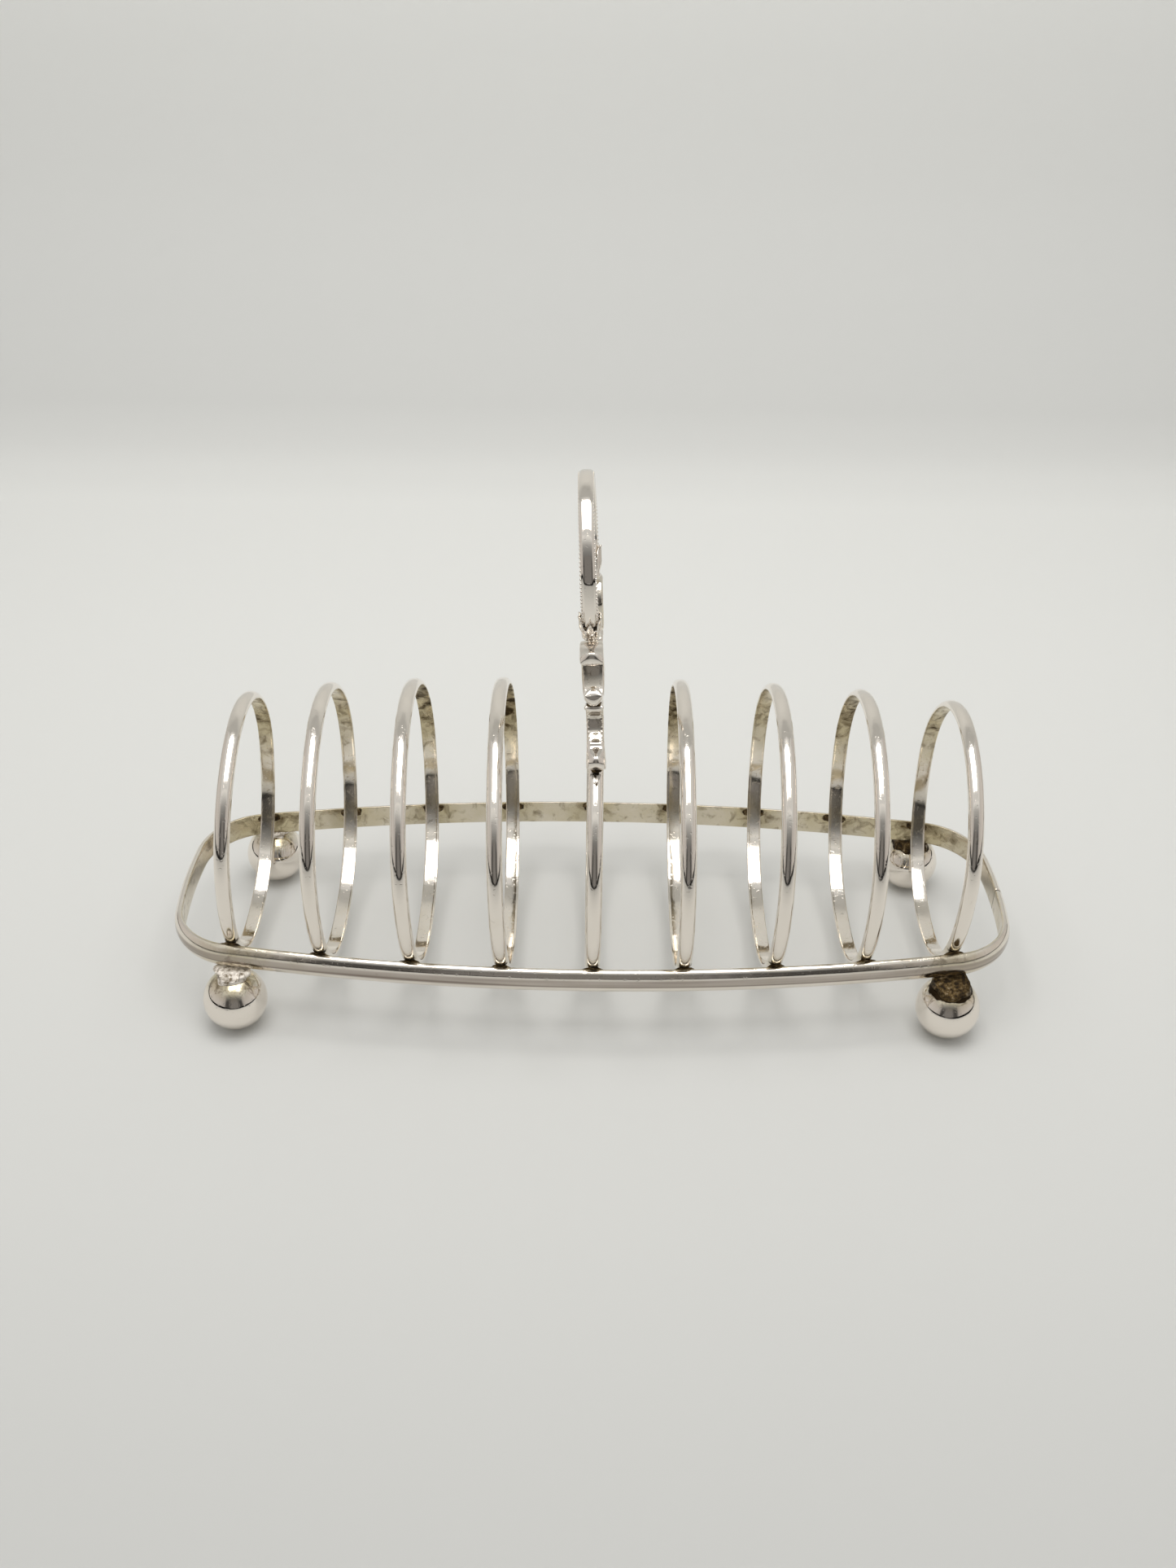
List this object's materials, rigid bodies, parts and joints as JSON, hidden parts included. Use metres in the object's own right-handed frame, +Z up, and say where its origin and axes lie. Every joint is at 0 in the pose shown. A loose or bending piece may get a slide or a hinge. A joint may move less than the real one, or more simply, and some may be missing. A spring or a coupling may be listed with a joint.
{
  "type": "toast rack",
  "caption": "Silver-plated toast rack: closed wire hoops soldered across a bow-sided rail on ball feet, with a cast loop handle on double scrolls over the middle hoop.",
  "frame": {"origin": "middle of the footprint, on the surface the feet stand on", "axes": "+X along the rack, across the hoops; +Y towards the back; +Z up"},
  "size_m": [0.24, 0.0898, 0.152],
  "materials": {
    "polished_silver": "polished, with fine wear scratches and a faint warm tarnish",
    "cast_silver": "polished casting, darker in the recesses",
    "rail_silver": "polished outside, duller and tarnished on the flat inner side",
    "solder": "rough dark soft solder"
  },
  "bodies": {
    "root": {"rail": "rail_silver", "hoop_1": "polished_silver", "hoop_2": "polished_silver", "hoop_3": "polished_silver", "hoop_4": "polished_silver", "hoop_5": "polished_silver", "hoop_6": "polished_silver", "hoop_7": "polished_silver", "hoop_8": "polished_silver", "hoop_9": "polished_silver", "ball_foot_front_left": "polished_silver", "ball_foot_front_right": "polished_silver", "ball_foot_back_left": "polished_silver", "ball_foot_back_right": "polished_silver", "solder_collar_front_left": "solder", "solder_collar_front_right": "solder", "solder_collar_back_left": "solder", "solder_collar_back_right": "solder", "handle_loop": "cast_silver", "handle_leaf_cup_front": "cast_silver", "handle_leaf_cup_back": "cast_silver", "handle_upper_scroll_front": "cast_silver", "handle_upper_scroll_back": "cast_silver", "handle_lower_scroll_front": "cast_silver", "handle_lower_scroll_back": "cast_silver"}
  },
  "joints": []
}
